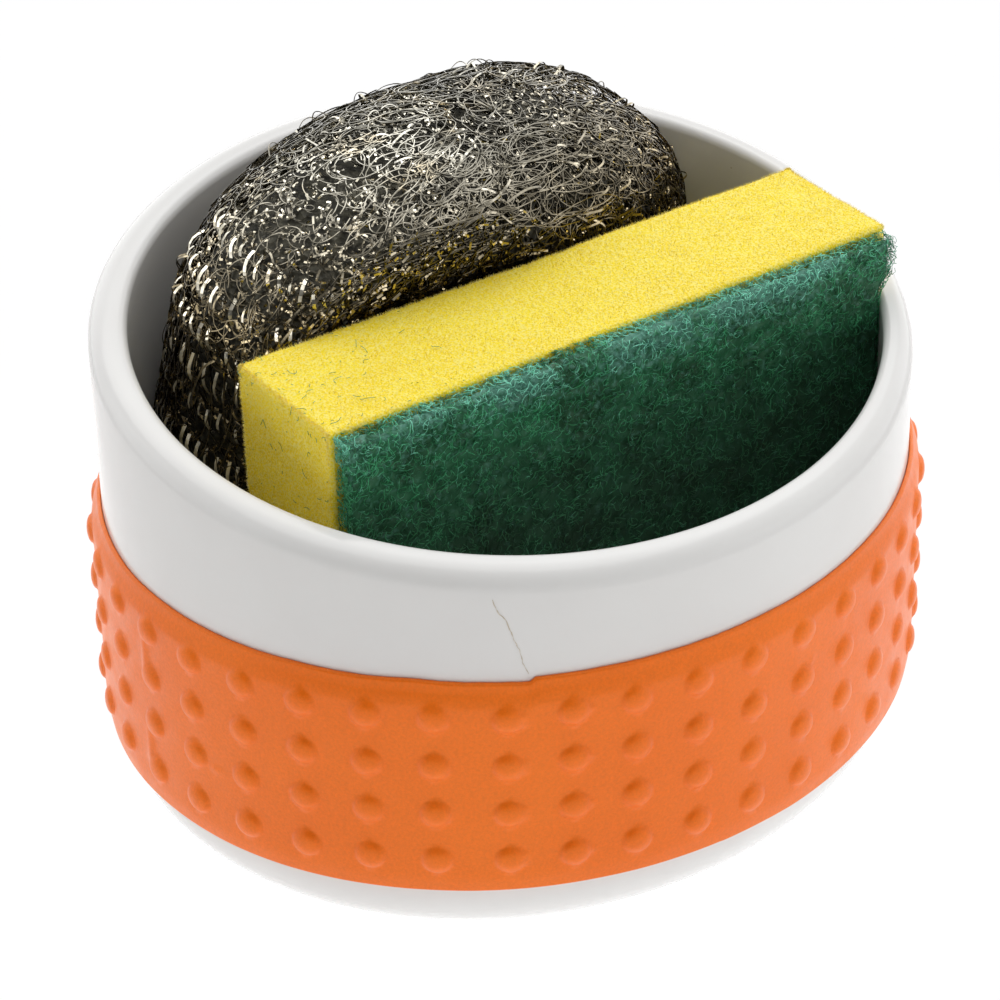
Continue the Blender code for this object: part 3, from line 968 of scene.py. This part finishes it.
def make_pad_end_fibres():
    """Curled fibres round the pad's two ends."""
    flat = curled_paths(END_FIBRES, FIBRE_STEPS, 1.6 + 2.0 * even(END_FIBRES), 2.0)
    left = even(END_FIBRES, 1) < 0.55
    spots = PAD_LOW + (PAD_HIGH - PAD_LOW) * even(END_FIBRES, 3)
    spots[:, 2] = PAD_HIGH[2] * (1 - 0.9 * even(END_FIBRES) ** 1.3)
    path = np.repeat(spots[:, None], FIBRE_STEPS, axis=1)
    path[..., 1:] += flat
    way = np.where(left, -1.0, 1.0)
    proud = 0.45 * even(END_FIBRES, FIBRE_STEPS) - 0.2
    path[..., 0] = np.where(left, PAD_LOW[0], PAD_HIGH[0]) + way * proud
    path = np.clip(path, PAD_LOW - 0.5, PAD_HIGH + (0.5, 0.0, 0.3))
    out = np.zeros_like(path)
    out[..., 0] = way
    add_fibres("pad_fibres_ends", path, out, 0.05, 1.0)


def make_pad_tufts():
    """Short loose ends that stick out of the pad: along the foam, on its front and at its ends."""
    spots = PAD_LOW + (PAD_HIGH - PAD_LOW) * even(TUFTS, 3)
    kind = RANDOM.choice(3, TUFTS, p=(0.36, 0.40, 0.24))
    seam, front, end = (kind == number for number in range(3))
    spots[seam, 1] = PAD_HIGH[1] - 0.1 + 0.35 * bell(seam.sum()).clip(-1, 1)
    spots[seam, 2] = PAD_HIGH[2] - 0.3
    spots[front, 2] = PAD_HIGH[2] * (1 - 0.9 * even(front.sum()) ** 1.3)
    spots[front, 1] = PAD_LOW[1]
    spots[end, 0] = np.where(even(end.sum()) < 0.45, PAD_LOW[0], PAD_HIGH[0])
    spots[end, 2] = PAD_HIGH[2] * (1 - 0.8 * even(end.sum()) ** 2)
    roots, out = round_box(spots, *PAD_BOX)
    roots = roots + out * (pad_wave(roots) - 0.3)[:, None]
    lean = unit(out + 0.75 * bell(TUFTS, 3))
    lean[seam] = unit(lean[seam] + (0, 0.4, 0.6))
    tips = roots + lean * (0.45 + 0.75 * even(TUFTS, 1) ** 2)
    ups = bell(TUFTS, 3)
    points, faces = spikes(roots, tips, ups, 0.035 + 0.025 * even(TUFTS))
    add_green("pad_tufts", seat_sponge(points, 0.1), faces, 0.7, smooth=False)


def squared(value):
    return np.sign(value) * np.abs(value) ** SCOURER_POWER


def scourer_turn():
    """The scourer's rotation as a matrix."""
    turns = [Matrix.Rotation(angle, 3, axis) for angle, axis in zip(SCOURER_ANGLES, "XYZ")]
    return np.array(turns[2] @ turns[1] @ turns[0])


SCOURER_MATRIX = scourer_turn()


def scourer_tall(rise):
    """How far the scourer reaches up or down from its middle."""
    return np.where(rise < 0, SCOURER_LOWER, SCOURER_HALF[2])


def scourer_skin(around, rise):
    """Points of the scourer's skin in its own frame, by angles about its upright axis and up."""
    length, thick, _ = SCOURER_HALF
    around, rise = np.broadcast_arrays(around, rise)
    level = squared(np.cos(rise))
    x = length * level * squared(np.cos(around))
    y = thick * level * squared(np.sin(around))
    z = scourer_tall(rise) * squared(np.sin(rise))
    fuller = smooth_step(z, -16.0, 14.0) - 0.45
    x = x - END_BULGE * fuller * smooth_step(-x / length, 0.45, 1.0)
    return np.stack([x, y, z], -1)


def scourer_point(around, rise, depth):
    """Points under the scourer's skin in the object's frame, and the way out at each."""
    local = scourer_skin(around, rise)
    half = np.stack(np.broadcast_arrays(*SCOURER_HALF[:2], scourer_tall(rise)), -1)
    power = 2 / SCOURER_POWER - 1
    out = unit(np.sign(local) * np.abs(local / half) ** power / half)
    local = local - out * np.asarray(depth)[..., None]
    return local @ SCOURER_MATRIX.T + SCOURER_CENTRE, out @ SCOURER_MATRIX.T


def press_scourer(points, clearance):
    """Keep the scourer inside the bowl, behind the sponge and on the floor."""
    points = press_into_bowl(points, clearance)
    normal = turn_sponge(np.array([0.0, 1.0, 0.0]))
    behind = (points - SPONGE_SEAT) @ normal - (FOAM_HIGH[1] + BOND + clearance)
    under = smooth_step(SPONGE_SEAT[2] + SPONGE_HEIGHT + 16.0 - points[..., 2], 0.0, 8.0)
    points = points + (1.3 * np.maximum(-behind, 0) * under)[..., None] * normal
    points[..., 2] = np.maximum(points[..., 2], FLOOR + clearance)
    return points


def knitted_steel(name, light, lower, painted_foam_reflection):
    """Steel ribbon whose shade changes along it, scaled by light for each piece as painted light and shade,
    darker low down by a lower share as painted shade, and more golden low down with a painted reflection of
    the yellow foam.
    """
    shader = Shader(name)
    height = shader.height()
    # Golden low down: a painted reflection of the yellow foam; golden in patches: a real stain
    stain_and_foam_reflection = shader.math("MAXIMUM", shader.remap(height, 0.084, 0.103, painted_foam_reflection, 0.0),
                        shader.patches(6.0, (0.52, 0.72), (0.0, 0.5)))
    shade = shader.patches(3.0, (0.36, 0.62))
    steel = shader.mix(shade, *shaded(STEEL, light))
    brass = shader.mix(shade, *shaded(BRASS, light))
    # Painted shade: the steel darker low down, down to the lower share
    painted_shade_low = shader.remap(height, 0.093, 0.106, lower, 1.0)
    shader.set(Base_Color=shader.mix(1.0, shader.mix(stain_and_foam_reflection, steel, brass), painted_shade_low, "MULTIPLY"))
    shader.set(Metallic=1.0, Roughness=shader.patches(0.8, (0.3, 0.7), (0.08, 0.20)))
    shader.bump(shader.noise(1.4, 1.0), 0.25, 0.1)
    return shader.material


def add_steel(name, points, faces, light, lower, painted_foam_reflection=0.75):
    add_piece(name, points, faces, knitted_steel(name, light, lower, painted_foam_reflection), "steel_knit", smooth=False)


def end_share(around):
    """How near the scourer's two ends a place is, from 0 along its sides to 1 on the ends."""
    return smooth_step(np.abs(np.cos(around)) ** SCOURER_POWER, 0.78, 0.95)


def ring_table(rise):
    """Angles about the upright axis, and the lengths along the scourer's skin up to them at one height."""
    angles = np.linspace(0, TURN, 721)
    return angles, lengths_along(scourer_skin(angles, rise))


def climb_speed(around, rise):
    """Millimetres that the skin climbs for each radian of rise."""
    reach = 0.06
    step = scourer_skin(around, rise + reach) - scourer_skin(around, rise - reach)
    return np.maximum(np.linalg.norm(step, axis=-1) / (2 * reach), LEAST_CLIMB)


def knit_course(rise, pitch, radius, depth, steps):
    """One course: a thread that curls round and round along a ring of the scourer, loop behind loop,
    and runs in flat waves on the ends. Gives angles, heights and depths."""
    angles, lengths = ring_table(rise)
    loops = max(int(lengths[-1] / pitch), 5)
    number = np.repeat(np.arange(loops), steps)
    phase = np.tile(np.arange(steps) / steps, loops)
    wild = bell(loops, 5).clip(-1.8, 1.8)
    blend = smooth_step(phase, 0.0, 1.0)[:, None]
    wild = wild[number] * (1 - blend) + wild[(number + 1) % loops] * blend
    middle = (number + phase + 0.22 * wild[:, 4]) * lengths[-1] / loops
    calm = end_share(np.interp(middle, lengths, angles))
    size = radius * (1 + 0.25 * wild[:, 0])
    curl = -size * np.sin(TURN * phase) * (0.95 - 0.65 * calm)
    drop = -size * np.cos(TURN * phase) * (1 - 0.65 * calm)
    lean = 0.35 * wild[:, 1]
    sideways = curl * np.cos(lean) - drop * np.sin(lean)
    downward = curl * np.sin(lean) + drop * np.cos(lean) + 1.1 * wild[:, 2]
    around = np.interp(np.mod(middle + sideways, lengths[-1]), lengths, angles)
    level = rise - downward / climb_speed(around, rise)
    below = depth + 0.3 * calm - 0.55 * (1 - np.cos(TURN * phase)) / 2 + 0.35 * wild[:, 3]
    return around, np.clip(level, -TURN / 4, TURN / 4), below


def knit_rings(spacing):
    """Heights of the courses, as angles, evenly spaced over the skin from the crown down."""
    rises = np.linspace(TURN / 4, -TURN / 4, 600)
    lengths = lengths_along(scourer_skin(TURN / 8, rises))
    upper = np.arange(0.7 * spacing, lengths[299], spacing)
    lower = np.arange(upper[-1] + 1.2 * spacing, lengths[-1] - 12.0, 1.6 * spacing)
    return np.interp(np.concatenate([upper, lower]), lengths, rises)


def ribbon(paths, outs, size, twist):
    """Ribbons on edge along smooth paths, each a closed wedge that twists as it goes."""
    turned = twist * (0.3 * noise(paths, 6.0, 61) + 0.55 * noise(paths, 1.6, 63))
    side = np.cross(unit(np.gradient(paths, axis=1)), outs)
    return sweep(paths, outs + side * turned[..., None], WEDGE * size)


def make_scourer():
    """Layers of knitted wire over a core dark with painted shade, with glints in them, legs on the ends and
    loose loops.
    """
    make_scourer_core()
    for name, depth, spacing, pitch, radius, light, size, twist in KNIT_LAYERS:
        courses = []
        for rise in knit_rings(spacing):
            steps = FINE_LOOP_STEPS if rise > -0.35 else COARSE_LOOP_STEPS
            points, out = scourer_point(*knit_course(rise, pitch, radius, depth, steps))
            courses.append(ribbon(press_scourer(points, 0.3)[None], out[None], size, twist))
        add_steel(name, *joined(courses), light, 0.42)
    make_loose_loops()
    make_glints()
    make_end_legs()


def make_glints():
    """The inside of the knit: short flat bits of bright ribbon at many tilts between the loops, their steel
    lighter as a painted highlight.
    """
    around = TURN * even(GLINTS)
    rise = np.arcsin(1 - 1.94 * even(GLINTS) ** 1.2)
    points, out = scourer_point(around, rise, 0.8 + 2.0 * even(GLINTS))
    ahead = unit(np.cross(out, bell(GLINTS, 3)))
    share = np.linspace(-0.5, 0.5, 3)[:, None]
    length = (0.5 + 1.2 * even(GLINTS) ** 2)[:, None, None]
    bow = (0.6 * even(GLINTS))[:, None, None]
    paths = points[:, None] + ahead[:, None] * share * length - out[:, None] * bow * share**2
    ups = unit(out + 0.75 * bell(GLINTS, 3))[:, None] + np.zeros((1, 3, 1))
    points, faces = sweep(press_scourer(paths, 0.4), ups, WEDGE * GLINT_RIBBON)
    add_steel("scourer_glints", points, faces, GLINT_PAINTED_LIGHT, 0.75)


def make_end_legs():
    """Rows of upright legs on the scourer's ends, bowed outward with the ribbon's flat side out, their steel
    lighter as a painted highlight.
    """
    share = np.linspace(-0.5, 0.5, LEG_STEPS)
    rows = []
    for height in np.arange(*END_ROWS):
        rise = np.sign(height) * (abs(height) / scourer_tall(height)) ** (1 / SCOURER_POWER)
        rise = np.arcsin(rise)
        angles, lengths = ring_table(rise)
        places = np.arange(3.0, lengths[-1] - 3.0, LEG_SPACING)
        places = places[end_share(np.interp(places, lengths, angles)) > 0.2]
        count = len(places)
        length = 3.7 + 0.6 * bell(count, 1).clip(-1.5, 1.5)
        slant = LEG_SLANT + 0.35 * bell(count, 1).clip(-2, 2)
        places = places[:, None] + 0.2 * bell(count, 1) + slant * share
        around = np.interp(places, lengths, angles)
        level = rise + (share * length + 0.4 * bell(count, 1)) / climb_speed(around, rise)
        points, out = scourer_point(around, level, 1.0 - 1.0 * np.cos(TURN / 2 * share))
        side = unit(np.cross(out, (0.0, 0.0, 1.0)))
        ups = out + side * 0.35 * bell(count, 1, 1)
        rows.append(sweep(press_scourer(points, 0.25), ups, WEDGE * LEG_RIBBON))
    # Painted highlight: the legs' steel is made lighter, with no painted shade low down
    add_steel("scourer_end_legs", *joined(rows), 1.38, 1.0, painted_foam_reflection=0.2)


def lying_arc(count, share):
    """An arc that lies on the knit: how far it runs ahead and aside, and how deep."""
    radius = 2.7 + 1.7 * even(count, 1)
    span = 2.2 + 2.8 * even(count, 1)
    depth = 0.35 - 0.5 * even(count, 1) * np.cos(TURN / 2 * share)
    return radius * np.sin(span * share), radius * np.cos(span * share), depth


def standing_hump(count, share):
    """A hump that stands out of the knit: how far it runs ahead and aside, and how deep."""
    ahead = (2.2 + 3.2 * even(count, 1)) * share
    aside = 0.4 * bell(count, 1) * np.cos(TURN / 2 * share)
    depth = 0.9 - (0.9 + 1.0 * even(count, 1)) * np.cos(TURN / 2 * share)
    return ahead, aside, depth


# Threads that have come loose: how many, their form, ribbon and shade. The standing humps are lighter, a
# painted highlight
LOOSE_THREADS = (("scourer_loose_arcs", 800, lying_arc, (0.14, 0.20), 0.62),
                 ("scourer_loose_humps", 230, standing_hump, (0.36, 0.12), 1.0))


def make_loose_loops():
    """Loose threads, scattered over the scourer at all angles."""
    share = np.linspace(-0.5, 0.5, 13)
    for name, count, form, size, light in LOOSE_THREADS:
        around = TURN * even(count, 1)
        rise = math.asin(0.97) * (1 - 1.25 * even(count, 1) ** 1.1)
        turned = TURN * even(count, 1)
        ahead, aside, depth = form(count, share)
        x, y, _ = np.moveaxis(scourer_skin(around, rise), -1, 0)
        reach = np.maximum(np.hypot(x, y), LEAST_REACH)
        around = around + (ahead * np.cos(turned) - aside * np.sin(turned)) / reach
        rise = rise + (ahead * np.sin(turned) + aside * np.cos(turned)) / MEAN_CLIMB
        points, out = scourer_point(around, np.clip(rise, -TURN / 4, TURN / 4), depth)
        points, faces = ribbon(press_scourer(points, 0.25), out, size, 0.5)
        add_steel(name, points, faces, light, 0.60)


def make_scourer_core():
    """A rough body under the layers, dark with painted shade for the depth of the knit."""
    rows = 90
    columns = 140
    rise = np.linspace(0.49, -0.49, rows)[:, None] * TURN / 2 + np.zeros((1, columns))
    around = np.linspace(0, TURN, columns, endpoint=False)[None] + np.zeros((rows, 1))
    points, out = scourer_point(around, rise, np.full(rise.shape, CORE_DEPTH))
    points = press_scourer(points + out * (0.8 * noise(points, 2.2, 62))[..., None], 1.5)
    shader = Shader("scourer_core_painted_shade")
    shade = shader.patches(1.6, (0.4, 0.7), detail=4.0)
    # Painted shade: the core is near black for the shadowed depth of the knit
    shader.set(Base_Color=shader.mix(shade, (0.022, 0.021, 0.015), (0.110, 0.103, 0.075)))
    shader.set(Metallic=0.6, Roughness=0.5)
    shader.bump(shader.cells(1.3), 1.0, 0.8)
    core = add_piece("scourer_core", points, capped_rings(rows, columns), shader.material, "steel_knit")
    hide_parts("steel_scourer")


def white_table():
    """A white sheet that lets light through near the object. The camera sees it plain white
    with the object's shadow."""
    shader = Shader("white_table")
    pale = shader.mix(shader.noise(300.0), (0.93, 0.93, 0.93), (0.95, 0.95, 0.95))
    diffuse = shader.add("ShaderNodeBsdfDiffuse", {"Color": pale})
    through = shader.add("ShaderNodeBsdfTranslucent", {"Color": pale})
    reach = shader.measure("DISTANCE", shader.place, tuple(value / METRE for value in TABLE_GLOW))
    thin = shader.remap(reach, TABLE_NEAR / METRE, TABLE_FAR / METRE, *TABLE_THROUGH)
    sheet = shader.add("ShaderNodeMixShader", {0: thin, 1: diffuse.outputs[0], 2: through.outputs[0]})
    plain = shader.add("ShaderNodeEmission", {"Color": (1.0, 1.0, 1.0), "Strength": 1.0})
    rays = shader.add("ShaderNodeLightPath").outputs
    share = shader.math("MULTIPLY", shader.seen(rays), TABLE_PLAIN)
    mixed = shader.add("ShaderNodeMixShader", {0: share, 1: sheet.outputs[0], 2: plain.outputs[0]})
    shader.feed(shader.tree.nodes["Material Output"].inputs["Surface"], mixed.outputs[0])
    return shader.material


def make_floor():
    half = TABLE_HALF / METRE
    mesh = bpy.data.meshes.new("table")
    corners = ((-half, -half, 0), (half, -half, 0), (half, half, 0), (-half, half, 0))
    mesh.from_pydata(corners, [], [(0, 1, 2, 3)])
    mesh.materials.append(white_table())
    table = add_object("table", mesh)


def aim(item, place, target, roll=0.0):
    """Put a lamp or the camera at a place, looking at a target."""
    back = (Vector(place) - Vector(target)).normalized()
    right = Vector((0, 0, 1)).cross(back).normalized()
    turn = Matrix((right, back.cross(right), back)).transposed() @ Matrix.Rotation(roll, 3, "Z")
    item.matrix_world = Matrix.Translation(Vector(place) / METRE) @ turn.to_4x4()


def make_lamp():
    lamp = bpy.data.lights.new("soft_box", "AREA")
    lamp.shape = "SQUARE"
    lamp.size = LAMP_SIZE / METRE
    lamp.energy = LAMP_POWER
    aim(add_object("soft_box", lamp), LAMP_PLACE, LAMP_TARGET)


def make_world():
    """A room that is dim in front and bright behind and under the table, with a window on the left
    and more contrast where it is mirrored, and white where it is seen."""
    world = bpy.data.worlds.new("room")
    world.use_nodes = True
    bpy.context.scene.world = world
    nodes = Nodes(world.node_tree)
    place = nodes.add("ShaderNodeTexCoord").outputs["Generated"]
    rays = nodes.add("ShaderNodeLightPath").outputs
    dim, bright, pane = (nodes.blend(rays["Is Glossy Ray"], *levels)
                         for levels in (ROOM_DIM, ROOM_BRIGHT, WINDOW_LIGHT))
    back = nodes.remap(nodes.measure("DOT_PRODUCT", place, ROOM_BACK), *ROOM_SPREAD)
    window = nodes.remap(nodes.measure("DOT_PRODUCT", place, WINDOW_WAY), *WINDOW_SPREAD)
    room = nodes.math("MULTIPLY_ADD", window, pane, nodes.blend(back, dim, bright))
    height = nodes.add("ShaderNodeSeparateXYZ", {"Vector": place}).outputs["Z"]
    level = nodes.blend(nodes.math("LESS_THAN", height, 0.0), room, ROOM_UNDER)
    background = nodes.tree.nodes["Background"]
    nodes.feed(background.inputs["Color"], (1.0, 1.0, 1.0))
    nodes.feed(background.inputs["Strength"], nodes.blend(nodes.seen(rays), level, 1.0))


def make_camera():
    data = bpy.data.cameras.new("camera")
    data.sensor_width = 36.0
    data.angle = CAMERA_ANGLE
    data.clip_start = 0.01
    camera = add_object("camera", data)
    aim(camera, CAMERA_PLACE, CAMERA_TARGET, -CAMERA_ROLL)
    bpy.context.scene.camera = camera


def main():
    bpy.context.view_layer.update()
    scene = bpy.context.scene
    scene.view_settings.view_transform = "Standard"
    make_camera()
    make_floor()
    make_world()
    make_lamp()
    make_bowl()
    make_crack()
    make_sleeve()
    make_foam()
    make_pad()
    make_scourer()


main()
